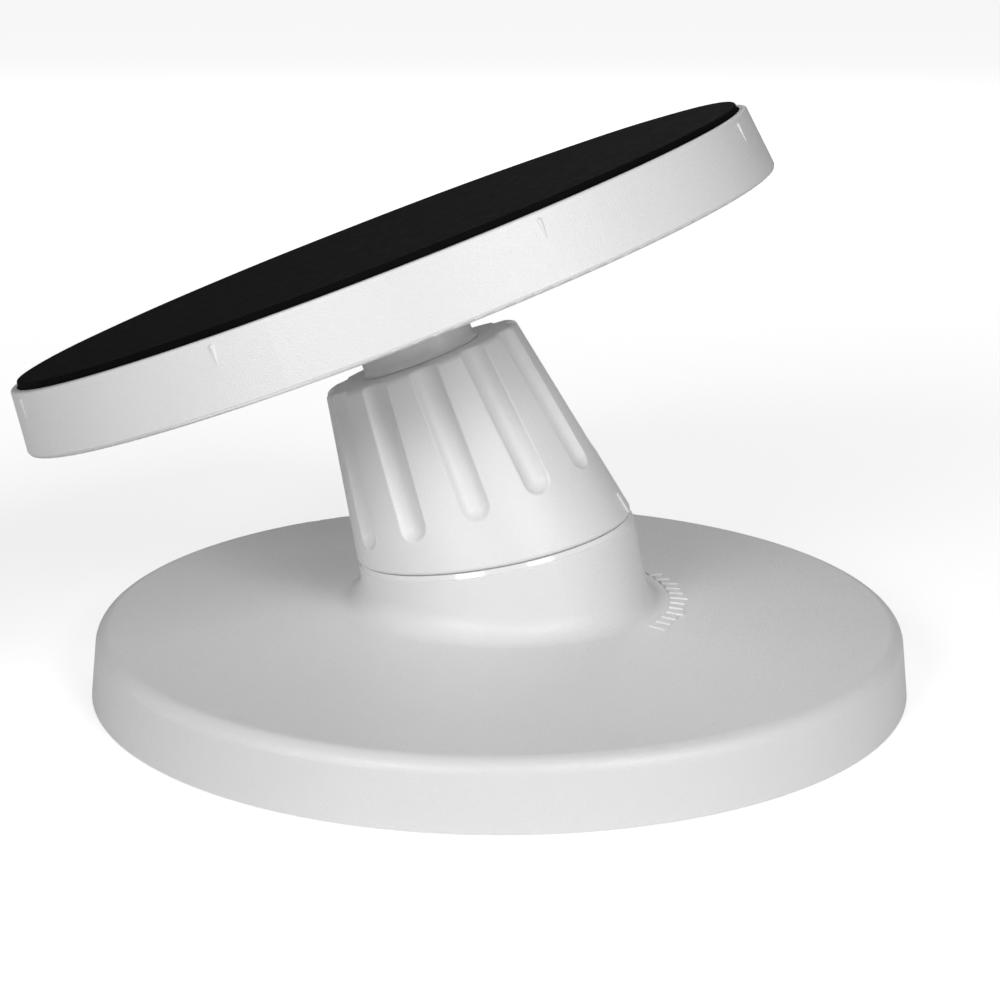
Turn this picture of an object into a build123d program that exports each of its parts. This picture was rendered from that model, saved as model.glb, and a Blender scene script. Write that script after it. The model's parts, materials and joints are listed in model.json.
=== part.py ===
"""Tilting swivel stand for a counter display.

A weighted round base carries a slanted neck. A fluted collar turns on the neck about the slanted
tilt axis, and a padded disc swivels on the collar about the disc axis. Both axes lean forward (towards
-Y) and cross the base's own axis at one pivot point, so half a turn of the collar takes the disc from
full tilt to level.

Frame: +Z up, origin on the underside in the middle of the base, -Y to the front. Millimetres.
"""
import math
import os
from collections import namedtuple

from build123d import *

# ---- the three axes -----------------------------------------------------------------------------
PIVOT_HEIGHT = 29.5             # where the tilt axis and the disc axis cross the base's axis
DISC_LEAN = 21.35               # lean of the disc axis at full tilt, degrees
TILT_LEAN = DISC_LEAN / 2       # lean of the tilt axis, degrees

# ---- base ---------------------------------------------------------------------------------------
BASE_RADIUS = 100.0
FOOT_DROP = 0.2                 # the foot pad stands this far below the base's wall
BASE_CORNER_RADIUS = 98.3       # where the wall would meet the top with no rounding
BASE_CORNER_HEIGHT = 15.9
BASE_ROUNDING = 3.6
BASE_EDGE_SLOPE = 0.0475        # rise of the top per millimetre inwards, at the edge
BASE_SLOPE_GROWTH = 0.0004      # half of that slope's growth per millimetre inwards
BASE_WALL = 3.0
FOOT_PAD_RADIUS = 95.8
FOOT_PAD_THICKNESS = 1.5
BOTTOM_COVER_RADIUS = 96.4
BOTTOM_COVER_THICKNESS = 2.0

# ---- neck, in heights along the tilt axis from the pivot ------------------------------------------
NECK_RADIUS = 34.1
NECK_TOP = 5.5
NECK_FOOT = -22.0               # where the neck's cone ends, inside the base's top
NECK_DRAFT = 1.36               # degrees
NECK_WALL = 3.1
NECK_ROOT_LIMIT = 28.0          # the joint line of neck and base lies below this
NECK_ROUNDING = 5.5             # where the neck meets the base
NECK_EDGE_ROUNDING = 0.4
WEB_TOP = 2.5
WEB_THICKNESS = 4.0

# ---- glide ring between neck and collar -----------------------------------------------------------
GLIDE_THICKNESS = 1.15
GLIDE_FOOT_RADIUS = 33.85
GLIDE_TOP_RADIUS = 33.4
GLIDE_BORE = 28.3
GLIDE_SPIGOT = 1.9              # depth of the ring's locating spigot in the neck
SPIGOT_GAP = 0.05
SLIDE_GAP = 0.1                 # between flat faces that turn on each other

# ---- collar, in heights along the disc axis from the pivot ----------------------------------------
COLLAR_TOP = 53.65
COLLAR_TOP_RADIUS = 24.7
COLLAR_HALF_ANGLE = 10.6        # degrees
COLLAR_TOP_ROUNDING = 1.5
COLLAR_FOOT_ROUNDING = 0.8
COLLAR_WALL = 4.0
COLLAR_TOP_THICKNESS = 3.0
STEM_BORE = 14.7
CUP_WALL = 3.0
CUP_FLOOR_TOP = 45.0
CUP_FLOOR_THICKNESS = 4.0
FLUTE_COUNT = 12
FLUTE_WIDTH = 6.9
FLUTE_DEPTH = 2.1
FLUTE_LENGTH = 36.6             # from the collar's top face to a flute's lower end
FLUTE_EDGE_ROUNDING = 0.6
SHORTEST_FLUTE_EDGE = 9.0       # the edges of the collar's rounded top are shorter than this
COLLAR_MARK_LENGTH = 5.6
COLLAR_MARK_WIDTH = 0.8
COLLAR_MARK_FOOT = 1.2          # height along the disc axis from the pivot
COLLAR_PLATE_RADIUS = 27.5
COLLAR_PLATE_THICKNESS = 3.0
COLLAR_PLATE_RECESS = 1.0       # from the collar's lower edge to the plate
COLLAR_POST_CIRCLE = 24.0
COLLAR_POST_RADIUS = 4.0
COLLAR_POST_LENGTH = 14.0
COLLAR_POST_COUNT = 3

# ---- disc, in heights below the rim's top edge ----------------------------------------------------
RIM_TOP = 82.5                  # height of the rim's top edge along the disc axis from the pivot
RIM_TOP_RADIUS = 93.1
RIM_FOOT_RADIUS = 94.9
RIM_DEPTH = 14.8
RIM_WALL = 2.5
RIM_LAND = 1.6                  # width of the rim's top edge
RIM_TOP_ROUNDING = 0.6
RIM_FOOT_ROUNDING = 0.2
PAD_RECESS = 1.4
TRAY_FLOOR_THICKNESS = 2.7
RIM_TICK_COUNT = 8
RIM_TICK_PHASE = -8.0           # degrees from +X, about the disc axis
RIM_TICK_TOP = 1.3
RIM_TICK_LENGTH = 4.6
RIM_TICK_RADIUS = 0.8
TICK_POINT_RADIUS = 0.1
LID_LIP_RADIUS = 94.7
LID_RADIUS = 91.9
LID_LIP_THICKNESS = 0.8
LID_LIP_ROUNDING = 0.7
LID_THICKNESS = 2.5
STEM_RADIUS = 14.0
STEM_FOOT = 46.9                # height along the disc axis from the pivot
STEM_WALL = 4.0
STEM_FLOOR = 3.5
STEM_ROUNDING = 2.0
SKIRT_RADIUS = 14.95            # small flare of the stem that covers the gap to the collar
SKIRT_EDGE = 0.3
SKIRT_ROUNDING = 0.9
STIFFENER_RADIUS = 55.0
STIFFENER_THICKNESS = 2.0
PAD_RADIUS = 91.0
PAD_PROUD = 1.6
ADHESIVE_RADIUS = 90.5
ADHESIVE_THICKNESS = 0.2

# ---- weight ring ----------------------------------------------------------------------------------
BALLAST_OUTER = 91.0
BALLAST_INNER = 46.0
BALLAST_THICKNESS = 7.0
BALLAST_GAP = 0.2

# ---- marks ----------------------------------------------------------------------------------------
MARK_HEIGHT = 0.4               # how far a raised mark stands out
SCALE_MIDDLE = 99.0             # degrees from +X
SCALE_STEP = 5.2                # degrees between the bars beside the neck
SCALE_BARS = 12
SCALE_RADIUS = 42.0             # inner end of the bars
SCALE_LENGTH = 4.3
SCALE_SHORT_LENGTH = 3.5
SCALE_WIDTH = 2.4

# ---- M8 bolts, nuts, washers and bushes -----------------------------------------------------------
BOLT_RADIUS = 4.0
BOLT_HEAD_WIDTH = 13.0
BOLT_HEAD_HEIGHT = 5.3
BOLT_END = 2.0                  # length of bolt that stands out of its nut
NUT_HEIGHT = 6.5
NUT_COLLAR_HEIGHT = 1.5
NUT_COLLAR_RADIUS = 5.8
NUT_GRIP = 0.05                 # threads that bite, as overlap
BUSH_RADIUS = 7.05
BUSH_HOLE_RADIUS = 7.0
BUSH_BORE_RADIUS = 4.05
BUSH_FLANGE_RADIUS = 12.0
BUSH_FLANGE_THICKNESS = 1.0
WASHER_RADIUS = 11.0
WASHER_BORE_RADIUS = 4.2
FRICTION_THICKNESS = 1.0
PRESSURE_THICKNESS = 1.6
SPRING_RADIUS = 9.0
SPRING_THICKNESS = 0.8
SPRING_RISE = 0.6
THRUST_THICKNESS = 0.8

# ---- small screws ---------------------------------------------------------------------------------
Screw = namedtuple("Screw", "radius pilot_radius head_radius head_height")
SCREW_M4 = Screw(radius=2.0, pilot_radius=1.9, head_radius=3.8, head_height=2.4)
SCREW_M3 = Screw(radius=1.5, pilot_radius=1.4, head_radius=2.8, head_height=1.5)
SCREW_CLEARANCE = 0.2
BALLAST_SCREW_CIRCLE = 68.0
BALLAST_BOSS_RADIUS = 5.0
COVER_SCREW_CIRCLE = 39.0
COVER_BOSS_RADIUS = 3.8
COVER_SCREW_LENGTH = 10.0
RIM_SCREW_CIRCLE = 80.0
RIM_SCREW_COUNT = 6
RIM_SCREW_LENGTH = 9.0
HUB_SCREW_CIRCLE = 36.0
HUB_SCREW_COUNT = 4
HUB_SCREW_LENGTH = 9.0
DISC_BOSS_RADIUS = 4.2
DISC_SCREW_HEAD_HEIGHT = 1.2
PLATE_SCREW_LENGTH = 11.0

# ---- frames and heights worked out from the above -------------------------------------------------
PIVOT = (0, 0, PIVOT_HEIGHT)


def leaning_frame(lean):
    """Frame at the pivot whose local Z leans towards -Y by lean degrees."""
    angle = math.radians(lean)
    return Plane(origin=PIVOT, x_dir=(1, 0, 0), z_dir=(0, -math.sin(angle), math.cos(angle)))


TILT_FRAME = leaning_frame(TILT_LEAN)
DISC_FRAME = leaning_frame(DISC_LEAN)
BOTTOM_COVER_TOP = FOOT_PAD_THICKNESS + BOTTOM_COVER_THICKNESS
BALLAST_FOOT = BOTTOM_COVER_TOP + BALLAST_GAP
BALLAST_TOP = BALLAST_FOOT + BALLAST_THICKNESS
WEB_FOOT = WEB_TOP - WEB_THICKNESS
GLIDE_TOP = NECK_TOP + GLIDE_THICKNESS
COLLAR_FOOT = GLIDE_TOP + SLIDE_GAP
COLLAR_PLATE_FOOT = COLLAR_FOOT + COLLAR_PLATE_RECESS
COLLAR_PLATE_TOP = COLLAR_PLATE_FOOT + COLLAR_PLATE_THICKNESS
CONE_SLOPE = math.tan(math.radians(COLLAR_HALF_ANGLE))
CUP_FLOOR_FOOT = CUP_FLOOR_TOP - CUP_FLOOR_THICKNESS
LID_FOOT = RIM_TOP - RIM_DEPTH - LID_LIP_THICKNESS
LID_TOP = LID_FOOT + LID_THICKNESS
TRAY_FLOOR_TOP = RIM_TOP - PAD_RECESS
TRAY_FLOOR_FOOT = TRAY_FLOOR_TOP - TRAY_FLOOR_THICKNESS
STIFFENER_TOP = LID_TOP + STIFFENER_THICKNESS
QUARTER_TURN = 90.0
EDGE_SEARCH = 0.1               # how near an edge must be to a plane to count as lying in it


# ---- shape helpers --------------------------------------------------------------------------------
def turned(points, roundings=()):
    """Solid of revolution about local Z from (radius, height) points; roundings are (point, radius)."""
    outline = make_face(Polyline(*points, close=True))
    for corner, radius in roundings:
        vertex = outline.vertices().sort_by_distance((*corner, 0))[0]
        outline = fillet(vertex, radius)
    return revolve(Plane.XZ * outline, Axis.Z)


def rod(radius, low, high):
    """Cylinder about local Z between two heights."""
    return Pos(0, 0, low) * Cylinder(radius, high - low, align=(Align.CENTER, Align.CENTER, Align.MIN))


def tube(bore, radius, low, high):
    """Round tube about local Z between two heights."""
    return rod(radius, low, high) - rod(bore, low, high)


def hexagon(across_flats, low, high):
    """Hexagonal prism about local Z between two heights."""
    outline = RegularPolygon(across_flats / 2, 6, major_radius=False)
    return Pos(0, 0, low) * extrude(outline, high - low)


def around(shape, circle, count, first_angle):
    """Copies of shape, evenly spaced on a circle about local Z."""
    return [
        Rot(0, 0, first_angle + 360.0 * index / count) * Pos(circle, 0, 0) * shape
        for index in range(count)
    ]


def joined(solid, pieces):
    """solid with every one of pieces added."""
    for piece in pieces:
        solid = solid + piece
    return solid


def less(solid, pieces):
    """solid with every one of pieces taken away."""
    for piece in pieces:
        solid = solid - piece
    return solid


def group(frame, solids):
    """Separate solids of one node, placed in a frame."""
    return Compound(children=[frame * solid for solid in solids])


def base_top(radius):
    """Height of the base's top surface at a distance from its axis: steeper towards the neck."""
    inwards = BASE_CORNER_RADIUS - radius
    return BASE_CORNER_HEIGHT + BASE_EDGE_SLOPE * inwards + BASE_SLOPE_GROWTH * inwards ** 2


def cone_radius(height):
    """Collar's outer radius at a height along the disc axis."""
    return COLLAR_TOP_RADIUS + (COLLAR_TOP - height) * CONE_SLOPE


# ---- base -----------------------------------------------------------------------------------------
def neck_cone(inset, low, high, roundings=()):
    """Neck's drafted round shape about the tilt axis, inset from the outside."""
    draft = math.tan(math.radians(NECK_DRAFT))
    low_radius = NECK_RADIUS - inset + (NECK_TOP - low) * draft
    high_radius = NECK_RADIUS - inset + (NECK_TOP - high) * draft
    return TILT_FRAME * turned([(0, low), (low_radius, low), (high_radius, high), (0, high)], roundings)


def dish(foot_radius, foot, corner_radius, drop, rounding):
    """Solid under the base's top surface, lowered by drop."""
    corner = (corner_radius, base_top(corner_radius) - drop)
    middle = (corner_radius / 2, base_top(corner_radius / 2) - drop)
    centre = (0, base_top(0) - drop)
    sides = Polyline(centre, (0, foot), (foot_radius, foot), corner)
    outline = make_face([sides, ThreePointArc(corner, middle, centre)])
    outline = fillet(outline.vertices().sort_by_distance((*corner, 0))[0], rounding)
    return revolve(Plane.XZ * outline, Axis.Z)


def base_outside(growth):
    """Solid outer shape of the base and the neck, grown evenly at the top by growth."""
    body = dish(BASE_RADIUS, FOOT_DROP, BASE_CORNER_RADIUS, -growth, BASE_ROUNDING)
    top_edge = (NECK_RADIUS + growth, NECK_TOP)
    body = body + neck_cone(-growth, NECK_FOOT, NECK_TOP, [(top_edge, NECK_EDGE_ROUNDING)])
    root = body.edges().filter_by(lambda edge: edge.bounding_box().size.X > 2 * NECK_RADIUS - 1)
    root = root.filter_by(lambda edge: base_top(BASE_RADIUS / 2) < edge.center().Z < NECK_ROOT_LIMIT)
    return fillet(root, NECK_ROUNDING)


def base_inside():
    """Space inside the base and the lower part of the neck."""
    wall_face = BASE_RADIUS - BASE_WALL
    corner = BASE_CORNER_RADIUS - BASE_WALL
    space = dish(wall_face, 0, corner, BASE_WALL, BASE_ROUNDING - BASE_WALL)
    return space + neck_cone(NECK_WALL, NECK_FOOT, WEB_FOOT)


def neck_scale():
    """Arc of raised bars beside the neck, on the side that the collar's mark faces at full tilt."""
    posts = []
    first_angle = SCALE_MIDDLE - SCALE_STEP * (SCALE_BARS - 1) / 2
    for index in range(SCALE_BARS):
        long_bar = index % 3 == 0
        length = SCALE_LENGTH if long_bar else SCALE_SHORT_LENGTH
        angle = first_angle + index * SCALE_STEP
        post = Box(length, SCALE_WIDTH, BASE_RADIUS)
        posts.append(Rot(0, 0, angle) * Pos(SCALE_RADIUS + length / 2, 0, 0) * post)
    raised = base_outside(MARK_HEIGHT)
    bars = [post & raised for post in posts]
    below = rod(BASE_RADIUS, -BASE_RADIUS, BALLAST_TOP + BASE_WALL)
    return [bar - below for bar in bars]


def base_cover():
    shell = joined(base_outside(0), neck_scale()) - base_inside()
    shell = shell - TILT_FRAME * rod(NECK_RADIUS - NECK_WALL, WEB_TOP, NECK_TOP + 1)
    shell = shell - TILT_FRAME * rod(BUSH_HOLE_RADIUS, WEB_FOOT - 1, WEB_TOP + 1)
    ballast_boss = rod(BALLAST_BOSS_RADIUS, BALLAST_TOP, base_top(BALLAST_SCREW_CIRCLE) - 1)
    cover_boss = rod(COVER_BOSS_RADIUS, BOTTOM_COVER_TOP, base_top(COVER_SCREW_CIRCLE) - 1)
    ballast_pilot = rod(SCREW_M4.pilot_radius, BALLAST_TOP, base_top(BALLAST_SCREW_CIRCLE) - 1.5)
    cover_pilot = rod(SCREW_M3.pilot_radius, BOTTOM_COVER_TOP, BOTTOM_COVER_TOP + COVER_SCREW_LENGTH)
    shell = joined(shell, around(ballast_boss, BALLAST_SCREW_CIRCLE, 4, 45))
    shell = joined(shell, around(cover_boss, COVER_SCREW_CIRCLE, 4, 0))
    shell = less(shell, around(ballast_pilot, BALLAST_SCREW_CIRCLE, 4, 45))
    return less(shell, around(cover_pilot, COVER_SCREW_CIRCLE, 4, 0))


def glide_ring():
    """Ring with a sloping polished face and a spigot that centres it in the neck."""
    spigot_radius = NECK_RADIUS - NECK_WALL - SPIGOT_GAP
    return TILT_FRAME * turned([
        (GLIDE_BORE, NECK_TOP - GLIDE_SPIGOT),
        (spigot_radius, NECK_TOP - GLIDE_SPIGOT),
        (spigot_radius, NECK_TOP),
        (GLIDE_FOOT_RADIUS, NECK_TOP),
        (GLIDE_TOP_RADIUS, GLIDE_TOP),
        (GLIDE_BORE, GLIDE_TOP),
    ])


def ballast_plate():
    plate = tube(BALLAST_INNER, BALLAST_OUTER, BALLAST_FOOT, BALLAST_TOP)
    hole = rod(SCREW_M4.radius + SCREW_CLEARANCE, BALLAST_FOOT, BALLAST_TOP)
    sink = rod(SCREW_M4.head_radius + SCREW_CLEARANCE, BALLAST_FOOT, BALLAST_FOOT + SCREW_M4.head_height)
    return less(plate, around(hole + sink, BALLAST_SCREW_CIRCLE, 4, 45))


def ballast_screws():
    head_top = BALLAST_FOOT + SCREW_M4.head_height
    head = rod(SCREW_M4.head_radius, BALLAST_FOOT, head_top)
    shank = rod(SCREW_M4.radius, head_top, base_top(BALLAST_SCREW_CIRCLE) - 2)
    return group(Plane.XY, around(head + shank, BALLAST_SCREW_CIRCLE, 4, 45))


def countersunk_head(extra):
    """Cone of a countersunk M3 head, wider by extra."""
    head_foot = FOOT_PAD_THICKNESS
    head_top = head_foot + SCREW_M3.head_height
    return turned([
        (0, head_foot),
        (SCREW_M3.head_radius + extra, head_foot),
        (SCREW_M3.radius + extra, head_top),
        (0, head_top),
    ])


def bottom_cover():
    plate = rod(BOTTOM_COVER_RADIUS, FOOT_PAD_THICKNESS, BOTTOM_COVER_TOP)
    hole = rod(SCREW_M3.radius + SCREW_CLEARANCE, FOOT_PAD_THICKNESS, BOTTOM_COVER_TOP)
    return less(plate, around(hole + countersunk_head(SCREW_CLEARANCE), COVER_SCREW_CIRCLE, 4, 0))


def bottom_cover_screws():
    shank = rod(SCREW_M3.radius, FOOT_PAD_THICKNESS, BOTTOM_COVER_TOP + COVER_SCREW_LENGTH - 1)
    return group(Plane.XY, around(countersunk_head(0) + shank, COVER_SCREW_CIRCLE, 4, 0))


def foot_pad():
    return rod(FOOT_PAD_RADIUS, 0, FOOT_PAD_THICKNESS)


# ---- bolts, nuts, washers and bushes --------------------------------------------------------------
def flanged_bush(seat_foot, seat_top):
    """Bush whose sleeve fills a seat and whose flange lies on top of it."""
    sleeve = rod(BUSH_RADIUS, seat_foot, seat_top)
    flange = rod(BUSH_FLANGE_RADIUS, seat_top, seat_top + BUSH_FLANGE_THICKNESS)
    return sleeve + flange - rod(BUSH_BORE_RADIUS, seat_foot, seat_top + BUSH_FLANGE_THICKNESS)


def spring_washer(low, opens_up):
    """Coned disc spring, 'opens_up' with its wide end on top."""
    rise = SPRING_RISE if opens_up else -SPRING_RISE
    inner_low = low if opens_up else low + SPRING_RISE
    return turned([
        (WASHER_BORE_RADIUS, inner_low),
        (SPRING_RADIUS, inner_low + rise),
        (SPRING_RADIUS, inner_low + rise + SPRING_THICKNESS),
        (WASHER_BORE_RADIUS, inner_low + SPRING_THICKNESS),
    ])


def clamp_stack(prefix, frame, seat_foot, head_foot):
    """Bolt, nut and washers that pull a plate at head_foot and a seat at seat_foot together."""
    friction_top = seat_foot - SLIDE_GAP
    friction_foot = friction_top - FRICTION_THICKNESS
    pressure_foot = friction_foot - PRESSURE_THICKNESS
    upper_spring_foot = pressure_foot - SPRING_THICKNESS - SPRING_RISE
    lower_spring_foot = upper_spring_foot - SPRING_THICKNESS - SPRING_RISE
    nut_foot = lower_spring_foot - NUT_HEIGHT
    collar_foot = nut_foot - NUT_COLLAR_HEIGHT
    head = hexagon(BOLT_HEAD_WIDTH, head_foot, head_foot + BOLT_HEAD_HEIGHT)
    shank = rod(BOLT_RADIUS, collar_foot - BOLT_END, head_foot)
    friction_washer = tube(WASHER_BORE_RADIUS, WASHER_RADIUS, friction_foot, friction_top)
    pressure_washer = tube(WASHER_BORE_RADIUS, WASHER_RADIUS, pressure_foot, friction_foot)
    springs = [spring_washer(upper_spring_foot, False), spring_washer(lower_spring_foot, True)]
    nut = hexagon(BOLT_HEAD_WIDTH, nut_foot, lower_spring_foot)
    nut = nut + rod(NUT_COLLAR_RADIUS, collar_foot, nut_foot)
    nut = nut - rod(BOLT_RADIUS - NUT_GRIP, collar_foot, lower_spring_foot)
    return {
        prefix + "_bolt": frame * (head + shank),
        prefix + "_friction_washer": frame * friction_washer,
        prefix + "_pressure_washer": frame * pressure_washer,
        prefix + "_spring_washers": group(frame, springs),
        prefix + "_lock_nut": frame * nut,
    }


# ---- collar ---------------------------------------------------------------------------------------
def above_seam():
    """Large block above the plane where the collar ends, square to the tilt axis."""
    return TILT_FRAME * rod(2 * NECK_RADIUS, COLLAR_FOOT, 2 * COLLAR_TOP)


def flute():
    """Cutter for the flute on the local +X side: a round bar along the cone with a ball end."""
    radius = ((FLUTE_WIDTH / 2) ** 2 + FLUTE_DEPTH ** 2) / (2 * FLUTE_DEPTH)
    stand_off = radius - FLUTE_DEPTH
    end_height = COLLAR_TOP - FLUTE_LENGTH + FLUTE_WIDTH / 2
    bar = rod(radius, 0, FLUTE_LENGTH) + Sphere(radius)
    lean = Rot(0, -COLLAR_HALF_ANGLE, 0)
    return Pos(cone_radius(end_height) + stand_off, 0, end_height) * lean * bar


def fluted_cone():
    """Cone about the disc axis, cut off square to the tilt axis, with its flutes and sharp edges."""
    low = -COLLAR_WALL
    top_edge = (COLLAR_TOP_RADIUS, COLLAR_TOP)
    cone = turned(
        [(0, low), (cone_radius(low), low), top_edge, (0, COLLAR_TOP)],
        [(top_edge, COLLAR_TOP_ROUNDING)],
    )
    half_pitch = 180.0 / FLUTE_COUNT
    cone = DISC_FRAME * Rot(0, 0, half_pitch) * cone & above_seam()
    flutes = around(flute(), 0, FLUTE_COUNT, QUARTER_TURN + half_pitch)
    return less(cone, [DISC_FRAME * item for item in flutes])


def collar_outside():
    """Fluted cone with the edges of its flutes and its foot rounded."""
    def at_foot(edge):
        return TILT_FRAME.to_local_coords(edge.center()).Z < COLLAR_FOOT + EDGE_SEARCH

    def beside_flute(edge):
        return edge.length > SHORTEST_FLUTE_EDGE and not at_foot(edge)

    shell = fluted_cone()
    shell = fillet(shell.edges().filter_by(beside_flute), FLUTE_EDGE_ROUNDING)
    return fillet(shell.edges().filter_by(at_foot), COLLAR_FOOT_ROUNDING)


def collar_inside():
    """Space under the collar's top, round the cup that the stem turns in."""
    inner_top = COLLAR_TOP - COLLAR_TOP_THICKNESS
    low = -COLLAR_WALL
    space = turned([
        (0, low),
        (cone_radius(low) - COLLAR_WALL, low),
        (cone_radius(inner_top) - COLLAR_WALL, inner_top),
        (0, inner_top),
    ])
    space = space - rod(STEM_BORE + CUP_WALL, CUP_FLOOR_FOOT, inner_top)
    cup = rod(STEM_BORE, CUP_FLOOR_TOP, COLLAR_TOP)
    return DISC_FRAME * (space + cup + rod(BUSH_HOLE_RADIUS, low, COLLAR_TOP))


def collar_mark():
    """Raised index line at the collar's foot, on its long side."""
    line = Box(2 * MARK_HEIGHT, COLLAR_MARK_WIDTH, COLLAR_MARK_LENGTH)
    middle = COLLAR_MARK_FOOT + COLLAR_MARK_LENGTH / 2
    line = Pos(cone_radius(middle), 0, middle) * Rot(0, -COLLAR_HALF_ANGLE, 0) * line
    return DISC_FRAME * Rot(0, 0, QUARTER_TURN) * line


def on_collar_posts(shape):
    """Copies of shape at the collar's screw posts."""
    copies = around(shape, COLLAR_POST_CIRCLE, COLLAR_POST_COUNT, QUARTER_TURN)
    return [TILT_FRAME * item for item in copies]


def tilt_collar():
    post = rod(COLLAR_POST_RADIUS, COLLAR_PLATE_TOP, COLLAR_PLATE_TOP + COLLAR_POST_LENGTH)
    pilot = rod(SCREW_M3.pilot_radius, COLLAR_PLATE_TOP, COLLAR_PLATE_TOP + PLATE_SCREW_LENGTH)
    inside = less(collar_inside(), on_collar_posts(post))
    return less(collar_outside() - inside, on_collar_posts(pilot)) + collar_mark()


def collar_base_plate():
    plate = tube(WASHER_BORE_RADIUS, COLLAR_PLATE_RADIUS, COLLAR_PLATE_FOOT, COLLAR_PLATE_TOP)
    hole = rod(SCREW_M3.radius + SCREW_CLEARANCE, COLLAR_PLATE_FOOT, COLLAR_PLATE_TOP)
    return less(TILT_FRAME * plate, on_collar_posts(hole))


def collar_plate_screws():
    head_foot = COLLAR_PLATE_FOOT - SCREW_M3.head_height
    head = rod(SCREW_M3.head_radius, head_foot, COLLAR_PLATE_FOOT)
    shank = rod(SCREW_M3.radius, COLLAR_PLATE_FOOT, COLLAR_PLATE_TOP + PLATE_SCREW_LENGTH - 1)
    return Compound(children=on_collar_posts(head + shank))


# ---- disc -----------------------------------------------------------------------------------------
def rim_radius(depth):
    """Rim's outer radius at a depth below its top edge."""
    return RIM_TOP_RADIUS + (RIM_FOOT_RADIUS - RIM_TOP_RADIUS) * depth / RIM_DEPTH


def rim_ticks():
    """Small raised drops on the rim, round at the top and pointed at the foot."""
    sunk = RIM_TICK_RADIUS - MARK_HEIGHT
    half_width = math.sqrt(RIM_TICK_RADIUS ** 2 - sunk ** 2)
    depth = RIM_TICK_TOP + half_width
    length = RIM_TICK_LENGTH - half_width
    to_point = math.degrees(math.atan2(sunk, length))
    rim_lean = math.degrees(math.atan2(RIM_FOOT_RADIUS - RIM_TOP_RADIUS, RIM_DEPTH))
    point = Cone(TICK_POINT_RADIUS, RIM_TICK_RADIUS, length, align=(Align.CENTER, Align.CENTER, Align.MAX))
    drop = Sphere(RIM_TICK_RADIUS) + point
    tick = Pos(-sunk, 0, RIM_TOP - depth) * Rot(0, -rim_lean - to_point, 0) * drop
    return around(tick, rim_radius(depth), RIM_TICK_COUNT, RIM_TICK_PHASE)


def disc_tray():
    foot = RIM_TOP - RIM_DEPTH
    bore = RIM_TOP_RADIUS - RIM_LAND
    top_edge = (RIM_TOP_RADIUS, RIM_TOP)
    foot_edge = (RIM_FOOT_RADIUS, foot)
    inner_slope = rim_radius(RIM_TOP - TRAY_FLOOR_FOOT) - RIM_WALL
    tray = turned(
        [
            (0, TRAY_FLOOR_TOP),
            (bore, TRAY_FLOOR_TOP),
            (bore, RIM_TOP),
            top_edge,
            foot_edge,
            (RIM_FOOT_RADIUS - RIM_WALL, foot),
            (inner_slope, TRAY_FLOOR_FOOT),
            (0, TRAY_FLOOR_FOOT),
        ],
        [(top_edge, RIM_TOP_ROUNDING), (foot_edge, RIM_FOOT_ROUNDING)],
    )
    rim_boss = tube(SCREW_M3.pilot_radius, DISC_BOSS_RADIUS, LID_TOP + SLIDE_GAP, TRAY_FLOOR_FOOT)
    hub_boss = tube(SCREW_M3.pilot_radius, DISC_BOSS_RADIUS, STIFFENER_TOP + SLIDE_GAP, TRAY_FLOOR_FOOT)
    tray = joined(tray, around(rim_boss, RIM_SCREW_CIRCLE, RIM_SCREW_COUNT, 0))
    tray = joined(tray, around(hub_boss, HUB_SCREW_CIRCLE, HUB_SCREW_COUNT, 45))
    return DISC_FRAME * joined(tray, rim_ticks())


def lid_hole():
    """Screw hole through the lid with a sunk seat for the head."""
    hole = rod(SCREW_M3.radius + SCREW_CLEARANCE, LID_FOOT, LID_TOP)
    return hole + rod(SCREW_M3.head_radius + SCREW_CLEARANCE, LID_FOOT, LID_FOOT + DISC_SCREW_HEAD_HEIGHT)


def disc_underplate():
    stem_edge = (STEM_RADIUS, STEM_FOOT)
    stem_root = (STEM_RADIUS, LID_FOOT)
    skirt_foot = COLLAR_TOP + SLIDE_GAP
    skirt_root = (STEM_RADIUS, skirt_foot + SKIRT_EDGE)
    lip_edge = (LID_LIP_RADIUS, LID_FOOT)
    lip_top = LID_FOOT + LID_LIP_THICKNESS
    lid = turned(
        [
            (WASHER_BORE_RADIUS, STEM_FOOT),
            stem_edge,
            (STEM_RADIUS, skirt_foot),
            (SKIRT_RADIUS, skirt_foot),
            (SKIRT_RADIUS, skirt_foot + SKIRT_EDGE),
            skirt_root,
            stem_root,
            lip_edge,
            (LID_LIP_RADIUS, lip_top),
            (LID_RADIUS, lip_top),
            (LID_RADIUS, LID_TOP),
            (STEM_RADIUS - STEM_WALL, LID_TOP),
            (STEM_RADIUS - STEM_WALL, STEM_FOOT + STEM_FLOOR),
            (WASHER_BORE_RADIUS, STEM_FOOT + STEM_FLOOR),
        ],
        [
            (stem_edge, STEM_ROUNDING / 2),
            (skirt_root, SKIRT_ROUNDING),
            (stem_root, STEM_ROUNDING),
            (lip_edge, LID_LIP_ROUNDING),
        ],
    )
    lid = less(lid, around(lid_hole(), RIM_SCREW_CIRCLE, RIM_SCREW_COUNT, 0))
    return DISC_FRAME * less(lid, around(lid_hole(), HUB_SCREW_CIRCLE, HUB_SCREW_COUNT, 45))


def lid_screws(circle, count, first_angle, length):
    """Screws that come up through the lid."""
    head_top = LID_FOOT + DISC_SCREW_HEAD_HEIGHT
    head = rod(SCREW_M3.head_radius, LID_FOOT, head_top)
    screw = head + rod(SCREW_M3.radius, head_top, head_top + length)
    return group(DISC_FRAME, around(screw, circle, count, first_angle))


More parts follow.
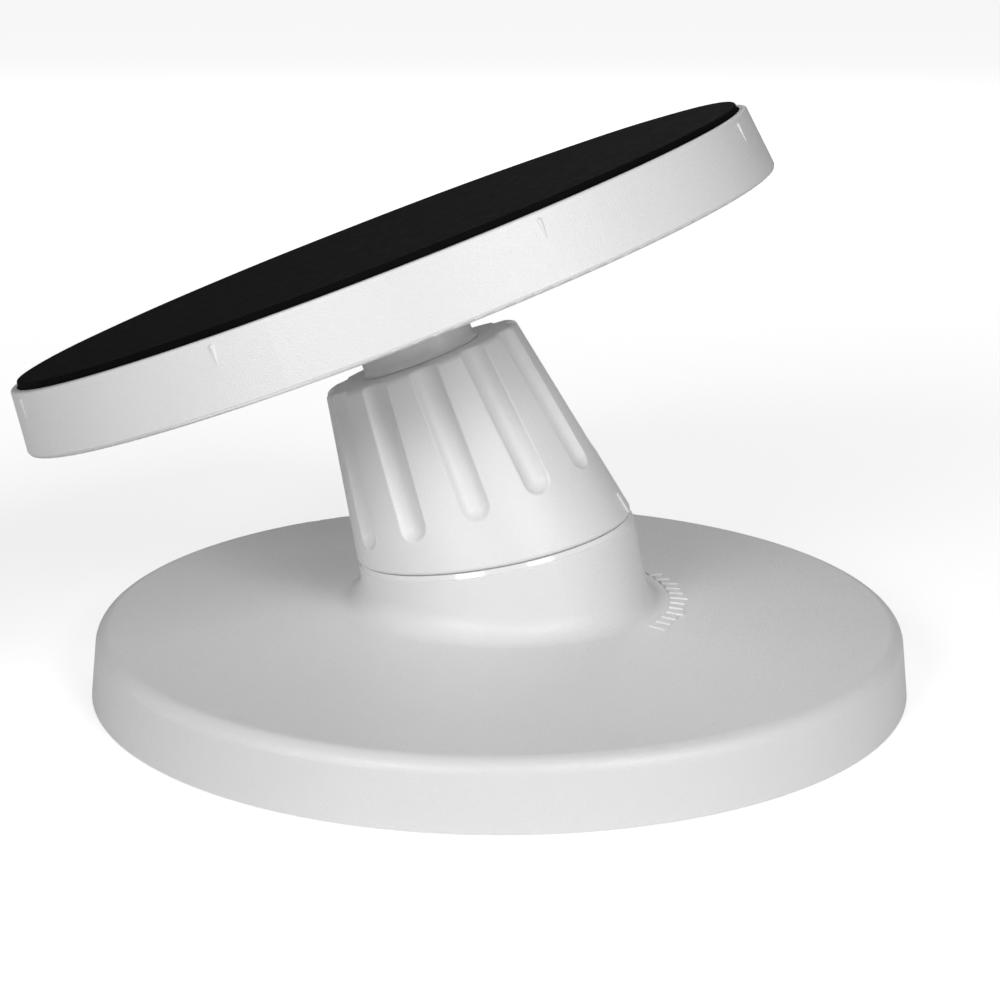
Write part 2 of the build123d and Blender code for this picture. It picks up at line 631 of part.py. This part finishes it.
def stiffener_plate():
    plate = tube(WASHER_BORE_RADIUS, STIFFENER_RADIUS, LID_TOP, STIFFENER_TOP)
    hole = rod(SCREW_M3.radius + SCREW_CLEARANCE, LID_TOP, STIFFENER_TOP)
    return DISC_FRAME * less(plate, around(hole, HUB_SCREW_CIRCLE, HUB_SCREW_COUNT, 45))


def swivel_thrust_washer():
    low = CUP_FLOOR_TOP + BUSH_FLANGE_THICKNESS + SLIDE_GAP
    return DISC_FRAME * tube(WASHER_BORE_RADIUS, BUSH_FLANGE_RADIUS, low, STEM_FOOT)


def pad_adhesive():
    return DISC_FRAME * rod(ADHESIVE_RADIUS, TRAY_FLOOR_TOP, TRAY_FLOOR_TOP + ADHESIVE_THICKNESS)


def top_pad():
    return DISC_FRAME * rod(PAD_RADIUS, TRAY_FLOOR_TOP + ADHESIVE_THICKNESS, RIM_TOP + PAD_PROUD)


# ---- write every node -----------------------------------------------------------------------------
def all_nodes():
    nodes = {
        "base_cover": base_cover(),
        "glide_ring": glide_ring(),
        "neck_bush": TILT_FRAME * flanged_bush(WEB_FOOT, WEB_TOP),
        "ballast_plate": ballast_plate(),
        "ballast_screws": ballast_screws(),
        "bottom_cover": bottom_cover(),
        "bottom_cover_screws": bottom_cover_screws(),
        "foot_pad": foot_pad(),
        "tilt_collar": tilt_collar(),
        "collar_base_plate": collar_base_plate(),
        "collar_plate_screws": collar_plate_screws(),
        "swivel_bush": DISC_FRAME * flanged_bush(CUP_FLOOR_FOOT, CUP_FLOOR_TOP),
        "disc_tray": disc_tray(),
        "disc_underplate": disc_underplate(),
        "underplate_screws": lid_screws(RIM_SCREW_CIRCLE, RIM_SCREW_COUNT, 0, RIM_SCREW_LENGTH),
        "hub_screws": lid_screws(HUB_SCREW_CIRCLE, HUB_SCREW_COUNT, 45, HUB_SCREW_LENGTH),
        "stiffener_plate": stiffener_plate(),
        "swivel_thrust_washer": swivel_thrust_washer(),
        "pad_adhesive": pad_adhesive(),
        "top_pad": top_pad(),
    }
    nodes.update(clamp_stack("tilt", TILT_FRAME, WEB_FOOT, COLLAR_PLATE_TOP))
    nodes.update(clamp_stack("swivel", DISC_FRAME, CUP_FLOOR_FOOT, STIFFENER_TOP))
    return nodes


os.makedirs("parts", exist_ok=True)
for name, shape in all_nodes().items():
    export_step(shape, f"parts/{name}.step")
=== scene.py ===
"""Looks of the tilting swivel stand: materials, the soft pads, the studio and the camera.

Metres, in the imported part's own frame: +Z up, -Y to the front, the origin under the middle of the base.
"""
import json
import math

import bmesh
import bpy
from mathutils import Matrix, Quaternion, Vector

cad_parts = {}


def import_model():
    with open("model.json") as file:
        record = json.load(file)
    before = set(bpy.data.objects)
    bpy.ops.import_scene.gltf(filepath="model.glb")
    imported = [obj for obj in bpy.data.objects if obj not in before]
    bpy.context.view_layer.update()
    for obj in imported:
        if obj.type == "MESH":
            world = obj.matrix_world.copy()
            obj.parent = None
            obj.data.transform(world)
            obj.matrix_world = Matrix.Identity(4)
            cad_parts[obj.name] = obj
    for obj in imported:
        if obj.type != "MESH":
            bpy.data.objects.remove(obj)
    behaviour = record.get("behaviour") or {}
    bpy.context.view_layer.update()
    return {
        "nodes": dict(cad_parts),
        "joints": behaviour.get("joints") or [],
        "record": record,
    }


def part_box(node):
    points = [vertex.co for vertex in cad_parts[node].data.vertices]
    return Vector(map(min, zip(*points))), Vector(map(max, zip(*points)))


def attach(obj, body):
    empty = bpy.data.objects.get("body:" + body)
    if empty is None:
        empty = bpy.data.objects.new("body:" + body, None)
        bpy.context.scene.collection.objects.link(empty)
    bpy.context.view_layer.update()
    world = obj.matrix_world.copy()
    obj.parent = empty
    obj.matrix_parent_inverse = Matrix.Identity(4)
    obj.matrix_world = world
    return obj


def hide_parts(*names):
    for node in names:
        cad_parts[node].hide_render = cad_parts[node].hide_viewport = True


MM = 0.001

# ---- camera ---------------------------------------------------------------------------------------
CAMERA_PLACE = Vector((0.53925, 0.10772, 0.19777))
CAMERA_AIM = Vector((0.0, 0.00006, 0.04461))
CAMERA_ROLL = math.radians(0.13)
CAMERA_LENS = 84.28             # millimetres, like the sensor's width
CAMERA_SENSOR = 36.0
CAMERA_NEAR = 0.01
CAMERA_FAR = 50.0

# ---- studio ---------------------------------------------------------------------------------------
STUDIO_MIDDLE = Vector((0.0, 0.0, 0.06))
FLOOR_RADIUS = 6.0
FLOOR_SIDES = 96
FLOOR_GREY = 0.76
FLOOR_GLOW_NEAR = 0.58          # added to the floor's own brightness by the object, for the camera only
FLOOR_GLOW_FAR = 0.85           # the same far from it, where the softboxes don't reach
FLOOR_NEAR = 0.15
FLOOR_FAR = 1.2
SKY_STRENGTH = 0.08
SKY_SEEN = 1.0                  # what the camera sees beyond the floor
# name, azimuth (0 is the front, 90 the right) and elevation in degrees, distance, side, watts
SOFTBOXES = [
    ("key_left", 72.0, 22.0, 1.4, 0.5, 8.3),
    ("key_right", 134.0, 34.0, 1.4, 0.5, 6.6),
    ("fill_right", 150.0, 12.0, 1.4, 0.5, 3.0),
    ("fill_left", 11.0, 18.0, 1.4, 0.8, 0.5),
    ("fill_back", 281.0, 35.0, 1.4, 0.8, 3.2),
]

# ---- pads -----------------------------------------------------------------------------------------
PAD_TURNS = 192
PAD_TOP_RINGS = 40
PAD_FOOT_RINGS = 12
EDGE_STEPS = 4                  # rows of faces round a plain edge
FINE_EDGE_STEPS = 8
PAD_EDGE = 0.5 * MM             # rounding of the top pad's upper edge
PAD_FOOT_EDGE = 0.4 * MM
PAD_RIPPLE = 0.04 * MM
RIPPLE_ALONG = 7 * MM           # lengths over which the ripple's three waves turn by one radian
RIPPLE_ACROSS = 9 * MM
RIPPLE_SLANTED = 19 * MM
FOOT_GROOVES = 7
FOOT_GROOVE_DEPTH = 0.5 * MM
FOOT_GROOVE_SHOULDER = 0.7      # of the depth, half way up a groove's side


# ---- shader helpers -------------------------------------------------------------------------------
class Finish:
    """One material's node tree, with short calls for the nodes that the materials share."""

    def __init__(self, name):
        self.material = bpy.data.materials.new(name)
        self.material.use_nodes = True
        self.tree = self.material.node_tree
        self.shader = self.tree.nodes["Principled BSDF"]
        self.place = self.tree.nodes.new("ShaderNodeTexCoord").outputs["Object"]

    def link(self, source, target):
        self.tree.links.new(source, target)

    def set(self, **values):
        """Sets sockets of the main shader that are the same all over."""
        for name, value in values.items():
            self.shader.inputs[name.replace("_", " ")].default_value = value

    def node(self, kind):
        return self.tree.nodes.new(kind)

    def noise(self, size, detail=2.0):
        """Noise whose features are about size metres across."""
        node = self.node("ShaderNodeTexNoise")
        node.inputs["Scale"].default_value = 1.0 / size
        node.inputs["Detail"].default_value = detail
        self.link(self.place, node.inputs["Vector"])
        return node.outputs["Fac"]

    def pits(self, size):
        """Distance to the nearest point of a random pattern, size metres from one to the next."""
        node = self.node("ShaderNodeTexVoronoi")
        node.inputs["Scale"].default_value = 1.0 / size
        self.link(self.place, node.inputs["Vector"])
        return node.outputs["Distance"]

    def range(self, value, low, high, from_low=0.3, from_high=0.7):
        """value spread over low to high."""
        node = self.node("ShaderNodeMapRange")
        node.inputs["From Min"].default_value = from_low
        node.inputs["From Max"].default_value = from_high
        node.inputs["To Min"].default_value = low
        node.inputs["To Max"].default_value = high
        self.link(value, node.inputs["Value"])
        return node.outputs["Result"]

    def mixed(self, factor, low_colour, high_colour):
        """A colour between two by factor."""
        node = self.node("ShaderNodeMix")
        node.data_type = "RGBA"
        node.inputs["A"].default_value = (*low_colour, 1.0)
        node.inputs["B"].default_value = (*high_colour, 1.0)
        self.link(factor, node.inputs["Factor"])
        return node.outputs["Result"]

    def bump(self, height, distance, strength=1.0, under=None):
        """Normal with a relief of height; under is a coarser relief's normal."""
        node = self.node("ShaderNodeBump")
        node.inputs["Distance"].default_value = distance
        node.inputs["Strength"].default_value = strength
        self.link(height, node.inputs["Height"])
        if under is not None:
            self.link(under, node.inputs["Normal"])
        return node.outputs["Normal"]

    def apply(self, colour, roughness, normal):
        self.link(colour, self.shader.inputs["Base Color"])
        self.link(roughness, self.shader.inputs["Roughness"])
        self.link(normal, self.shader.inputs["Normal"])
        return self.material


def grey(value):
    return (value, value, value)


# ---- materials ------------------------------------------------------------------------------------
def spark_textured_plastic():
    """White ABS with a fine spark-eroded grain, glossier in small spots."""
    finish = Finish("spark_textured_plastic")
    finish.set(IOR=1.5, Specular_IOR_Level=0.5)
    tone = finish.mixed(finish.noise(28 * MM, 3.0), grey(0.79), grey(0.83))
    roughness = finish.range(finish.noise(0.5 * MM), 0.27, 0.4)
    sink = finish.bump(finish.noise(9 * MM, 1.0), 0.02 * MM)
    grain = finish.bump(finish.noise(0.36 * MM, 4.0), 0.1 * MM, 1.0, sink)
    return finish.apply(tone, roughness, grain)


def polished_acetal():
    """Smooth glossy white plastic, very slightly wavy."""
    finish = Finish("polished_acetal")
    finish.set(IOR=1.48)
    tone = finish.mixed(finish.noise(12 * MM), grey(0.82), grey(0.85))
    roughness = finish.range(finish.noise(3 * MM), 0.08, 0.14)
    return finish.apply(tone, roughness, finish.bump(finish.noise(2.5 * MM), 0.004 * MM))


def natural_acetal():
    """Unfilled bush plastic, slightly yellow, waxy."""
    finish = Finish("natural_acetal")
    finish.set(Subsurface_Weight=0.15, Subsurface_Scale=1.5 * MM)
    tone = finish.mixed(finish.noise(4 * MM), (0.70, 0.68, 0.61), (0.76, 0.74, 0.68))
    roughness = finish.range(finish.noise(1.5 * MM), 0.3, 0.42)
    return finish.apply(tone, roughness, finish.bump(finish.noise(0.8 * MM), 0.01 * MM))


def dark_plastic():
    """Black moulded cover with a coarser grain than the white parts."""
    finish = Finish("dark_plastic")
    tone = finish.mixed(finish.noise(20 * MM), grey(0.035), grey(0.05))
    roughness = finish.range(finish.noise(1.0 * MM), 0.5, 0.62)
    return finish.apply(tone, roughness, finish.bump(finish.noise(0.6 * MM, 3.0), 0.08 * MM))


def cellular_rubber():
    """Matt black non-slip rubber with fine open cells, faintly uneven in tone."""
    finish = Finish("cellular_rubber")
    finish.set(Specular_IOR_Level=0.03)
    tone = finish.mixed(finish.noise(16 * MM, 4.0), grey(0.003), grey(0.006))
    roughness = finish.range(finish.noise(2.5 * MM), 0.72, 0.85)
    waves = finish.bump(finish.noise(6 * MM), 0.03 * MM)
    cells = finish.bump(finish.pits(0.5 * MM), 0.08 * MM, 0.8, waves)
    return finish.apply(tone, roughness, cells)


def foot_rubber():
    """Dark grey non-slip sheet, matt, with a pressed pebble grain."""
    finish = Finish("foot_rubber")
    tone = finish.mixed(finish.noise(10 * MM, 3.0), grey(0.03), grey(0.045))
    roughness = finish.range(finish.noise(2 * MM), 0.78, 0.9)
    return finish.apply(tone, roughness, finish.bump(finish.pits(0.9 * MM), 0.1 * MM))


def adhesive_film():
    """Milky double-sided film with small trapped bubbles."""
    finish = Finish("adhesive_film")
    tone = finish.mixed(finish.noise(5 * MM), (0.72, 0.70, 0.62), (0.80, 0.78, 0.72))
    roughness = finish.range(finish.noise(2 * MM), 0.35, 0.55)
    return finish.apply(tone, roughness, finish.bump(finish.pits(3 * MM), 0.02 * MM))


def treated_steel(name, low, high, rough_low, rough_high):
    """Plated, blackened or tempered steel: patches of slightly different tone and gloss."""
    finish = Finish(name)
    finish.set(Metallic=1.0)
    tone = finish.mixed(finish.noise(2.5 * MM, 4.0), low, high)
    roughness = finish.range(finish.noise(0.9 * MM, 3.0), rough_low, rough_high)
    return finish.apply(tone, roughness, finish.bump(finish.noise(0.25 * MM), 0.006 * MM))


def phosphated_plate():
    """Rolled steel plate with a dull grey phosphate coat."""
    finish = Finish("phosphated_plate")
    finish.set(Metallic=0.6)
    tone = finish.mixed(finish.noise(7 * MM, 5.0), grey(0.12), grey(0.2))
    roughness = finish.range(finish.noise(1.8 * MM, 3.0), 0.55, 0.75)
    return finish.apply(tone, roughness, finish.bump(finish.noise(1.1 * MM, 4.0), 0.05 * MM))


def pressed_fibre():
    """Brown friction lining with short fibres."""
    finish = Finish("pressed_fibre")
    tone = finish.mixed(finish.noise(0.6 * MM, 5.0), (0.16, 0.085, 0.045), (0.36, 0.21, 0.12))
    roughness = finish.range(finish.noise(0.8 * MM), 0.7, 0.9)
    return finish.apply(tone, roughness, finish.bump(finish.noise(0.5 * MM, 4.0), 0.06 * MM))


def slot_materials():
    """The finished material of each of the record's material slots."""
    return {
        "white_shell": spark_textured_plastic(),
        "glide_plastic": polished_acetal(),
        "bush_plastic": natural_acetal(),
        "weight_steel": phosphated_plate(),
        "dark_shell": dark_plastic(),
        "foot_rubber": foot_rubber(),
        "pad_rubber": cellular_rubber(),
        "adhesive_film": adhesive_film(),
        "plate_steel": treated_steel("zinc_plate", grey(0.52), grey(0.62), 0.34, 0.46),
        "bolt_steel": treated_steel("zinc_bolt", grey(0.58), grey(0.68), 0.22, 0.34),
        "screw_steel": treated_steel("black_oxide", grey(0.025), grey(0.05), 0.38, 0.5),
        "spring_steel": treated_steel("spring_steel", grey(0.26), grey(0.36), 0.3, 0.45),
        "friction_lining": pressed_fibre(),
    }


def dress_nodes(frame, materials):
    """Gives every CAD node the finish of its slot."""
    for part in frame["record"]["subparts"]:
        node = frame["nodes"][part["node"]]
        for slot in node.material_slots:
            slot.material = materials[part["material_slot"]]


# ---- pads -----------------------------------------------------------------------------------------
def disc_axis(frame):
    """(pivot, direction) of the axis that the disc turns about."""
    joint = next(joint for joint in frame["joints"] if joint["name"] == "disc_swivel")
    return Vector(joint["pos_m"]), Vector(joint["axis"]).normalized()


def extent_about(node, pivot, axis):
    """(radius, lowest, highest) of a CAD node about an axis, heights from the pivot."""
    points = [vertex.co - pivot for vertex in node.data.vertices]
    heights = [point.dot(axis) for point in points]
    radius = max((point - axis * height).length for point, height in zip(points, heights))
    return radius, min(heights), max(heights)


def arc(centre_radius, centre_height, radius, start, end, steps):
    """Points on an arc of a profile, from start to end degrees."""
    points = []
    for step in range(steps + 1):
        angle = math.radians(start + (end - start) * step / steps)
        points.append((centre_radius + radius * math.cos(angle), centre_height + radius * math.sin(angle)))
    return points


def spread(start, end, steps):
    """Points on a straight part of a profile, both ends left out."""
    return [
        (
            start[0] + (end[0] - start[0]) * step / steps,
            start[1] + (end[1] - start[1]) * step / steps,
        )
        for step in range(1, steps)
    ]


def turned_mesh(name, profile, placed, ripple):
    """Closed body turned from a profile that starts and ends on the axis.

    placed puts local points where they belong; ripple gives each point a small lift.
    """
    shape = bmesh.new()
    first = shape.verts.new((0.0, 0.0, profile[0][1]))
    last = shape.verts.new((0.0, 0.0, profile[-1][1]))
    rings = []
    for radius, height in profile[1:-1]:
        ring = []
        for turn in range(PAD_TURNS):
            angle = 2 * math.pi * turn / PAD_TURNS
            x = radius * math.cos(angle)
            y = radius * math.sin(angle)
            ring.append(shape.verts.new((x, y, height + ripple(x, y, height))))
        rings.append(ring)
    for turn in range(PAD_TURNS):
        after = (turn + 1) % PAD_TURNS
        shape.faces.new((first, rings[0][after], rings[0][turn]))
        shape.faces.new((last, rings[-1][turn], rings[-1][after]))
        for inner, outer in zip(rings, rings[1:]):
            shape.faces.new((inner[turn], inner[after], outer[after], outer[turn]))
    for face in shape.faces:
        face.smooth = True
    bmesh.ops.recalc_face_normals(shape, faces=shape.faces)
    mesh = bpy.data.meshes.new(name)
    shape.to_mesh(mesh)
    shape.free()
    mesh.transform(placed)
    piece = bpy.data.objects.new(name, mesh)
    bpy.context.scene.collection.objects.link(piece)
    return piece


def top_pad_piece(frame, materials):
    """The disc's non-slip pad: rounded edges and a hardly visible waviness, as cut foam rubber has."""
    pivot, axis = disc_axis(frame)
    radius, low, high = extent_about(frame["nodes"]["top_pad"], pivot, axis)
    top = high - low - PAD_RIPPLE
    profile = [(0.0, 0.0)]
    profile += spread((0.0, 0.0), (radius - PAD_FOOT_EDGE, 0.0), PAD_FOOT_RINGS)
    profile += arc(radius - PAD_FOOT_EDGE, PAD_FOOT_EDGE, PAD_FOOT_EDGE, -90, 0, EDGE_STEPS)
    profile += arc(radius - PAD_EDGE, top - PAD_EDGE, PAD_EDGE, 0, 90, FINE_EDGE_STEPS)
    profile += spread((radius - PAD_EDGE, top), (0.0, top), PAD_TOP_RINGS)
    profile += [(0.0, top)]

    def ripple(x, y, height):
        if height < top - PAD_EDGE:
            return 0.0
        crossed = math.sin(x / RIPPLE_ALONG) * math.cos(y / RIPPLE_ACROSS)
        slanted = math.sin((x + 2 * y) / RIPPLE_SLANTED)
        return PAD_RIPPLE * (crossed + slanted) / 2

    turn = Vector((0.0, 0.0, 1.0)).rotation_difference(axis).to_matrix().to_4x4()
    placed = Matrix.Translation(pivot + axis * low) @ turn
    piece = turned_mesh("non_slip_pad", profile, placed, ripple)
    piece.data.materials.append(materials["pad_rubber"])
    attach(piece, "disc")
    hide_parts("top_pad")


def foot_pad_piece(frame, materials):
    """The sheet under the base, with round grooves that grip the counter."""
    low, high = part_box("foot_pad")
    radius = (high.x - low.x) / 2
    thickness = high.z - low.z
    edge = thickness / 4
    pitch = radius / (FOOT_GROOVES + 1)
    groove = FOOT_GROOVE_DEPTH
    shoulder = groove * FOOT_GROOVE_SHOULDER
    profile = [(0.0, 0.0)]
    for index in range(1, FOOT_GROOVES + 1):
        middle = index * pitch
        profile += [
            (middle - 2 * groove, 0.0),
            (middle - groove, shoulder),
            (middle, groove),
            (middle + groove, shoulder),
            (middle + 2 * groove, 0.0),
        ]
    profile += arc(radius - edge, edge, edge, -90, 0, EDGE_STEPS)
    profile += arc(radius - edge, thickness - edge, edge, 0, 90, EDGE_STEPS)
    profile += spread((radius - edge, thickness), (0.0, thickness), PAD_FOOT_RINGS)
    profile += [(0.0, thickness)]
    placed = Matrix.Translation((0, 0, low.z))
    piece = turned_mesh("grip_sheet", profile, placed, lambda x, y, height: 0.0)
    piece.data.materials.append(materials["foot_rubber"])
    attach(piece, "base")
    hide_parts("foot_pad")


# ---- studio ---------------------------------------------------------------------------------------
def facing(place, aim):
    """Rotation of a camera or light at place that points at aim."""
    return (aim - place).to_track_quat("-Z", "Y")


def add_camera():
    data = bpy.data.cameras.new("photo_camera")
    data.sensor_width = CAMERA_SENSOR
    data.lens = CAMERA_LENS
    data.clip_start = CAMERA_NEAR
    data.clip_end = CAMERA_FAR
    camera = bpy.data.objects.new("photo_camera", data)
    camera.location = CAMERA_PLACE
    camera.rotation_mode = "QUATERNION"
    roll = Quaternion((0.0, 0.0, 1.0), CAMERA_ROLL)
    camera.rotation_quaternion = facing(CAMERA_PLACE, CAMERA_AIM) @ roll
    bpy.context.scene.collection.objects.link(camera)
    bpy.context.scene.camera = camera


def add_softboxes():
    for name, azimuth, elevation, distance, side, watts in SOFTBOXES:
        turn = math.radians(azimuth)
        rise = math.radians(elevation)
        back = Vector((
            math.sin(turn) * math.cos(rise),
            -math.cos(turn) * math.cos(rise),
            math.sin(rise),
        ))
        data = bpy.data.lights.new(name, "AREA")
        data.size = side
        data.energy = watts
        light = bpy.data.objects.new(name, data)
        light.location = STUDIO_MIDDLE + back * distance
        light.rotation_mode = "QUATERNION"
        light.rotation_quaternion = facing(light.location, STUDIO_MIDDLE)
        bpy.context.scene.collection.objects.link(light)


def add_sky():
    """Weak even light all round, and plain white where the camera sees past the floor."""
    world = bpy.data.worlds.new("studio")
    world.use_nodes = True
    bpy.context.scene.world = world
    nodes = world.node_tree.nodes
    seen = nodes.new("ShaderNodeLightPath")
    strength = nodes.new("ShaderNodeMix")
    strength.inputs["A"].default_value = SKY_STRENGTH
    strength.inputs["B"].default_value = SKY_SEEN
    world.node_tree.links.new(seen.outputs["Is Camera Ray"], strength.inputs["Factor"])
    world.node_tree.links.new(strength.outputs["Result"], nodes["Background"].inputs["Strength"])
    nodes["Background"].inputs["Color"].default_value = (1.0, 1.0, 1.0, 1.0)


def floor_glow(finish):
    """Strength that keeps the floor evenly pale in the picture without lighting the object."""
    distance = finish.node("ShaderNodeVectorMath")
    distance.operation = "LENGTH"
    finish.link(finish.place, distance.inputs["Vector"])
    even = finish.range(distance.outputs["Value"], FLOOR_GLOW_NEAR, FLOOR_GLOW_FAR, FLOOR_NEAR, FLOOR_FAR)
    seen = finish.node("ShaderNodeMath")
    seen.operation = "MULTIPLY"
    finish.link(even, seen.inputs[0])
    finish.link(finish.node("ShaderNodeLightPath").outputs["Is Camera Ray"], seen.inputs[1])
    return seen.outputs["Value"]


def add_floor():
    finish = Finish("floor")
    finish.set(Emission_Color=(1.0, 1.0, 1.0, 1.0), Specular_IOR_Level=0.1)
    finish.link(floor_glow(finish), finish.shader.inputs["Emission Strength"])
    tone = finish.mixed(finish.noise(400 * MM), grey(FLOOR_GREY), grey(FLOOR_GREY * 1.02))
    roughness = finish.range(finish.noise(100 * MM), 0.8, 0.9)
    finish.apply(tone, roughness, finish.bump(finish.noise(20 * MM), 0.05 * MM))
    bpy.ops.mesh.primitive_circle_add(vertices=FLOOR_SIDES, radius=FLOOR_RADIUS, fill_type="NGON")
    floor = bpy.context.object
    floor.name = "floor"
    floor.data.materials.append(finish.material)


def main():
    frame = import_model()
    materials = slot_materials()
    dress_nodes(frame, materials)
    top_pad_piece(frame, materials)
    foot_pad_piece(frame, materials)
    add_camera()
    add_softboxes()
    add_sky()
    add_floor()
    bpy.context.scene.view_settings.view_transform = "Standard"


main()
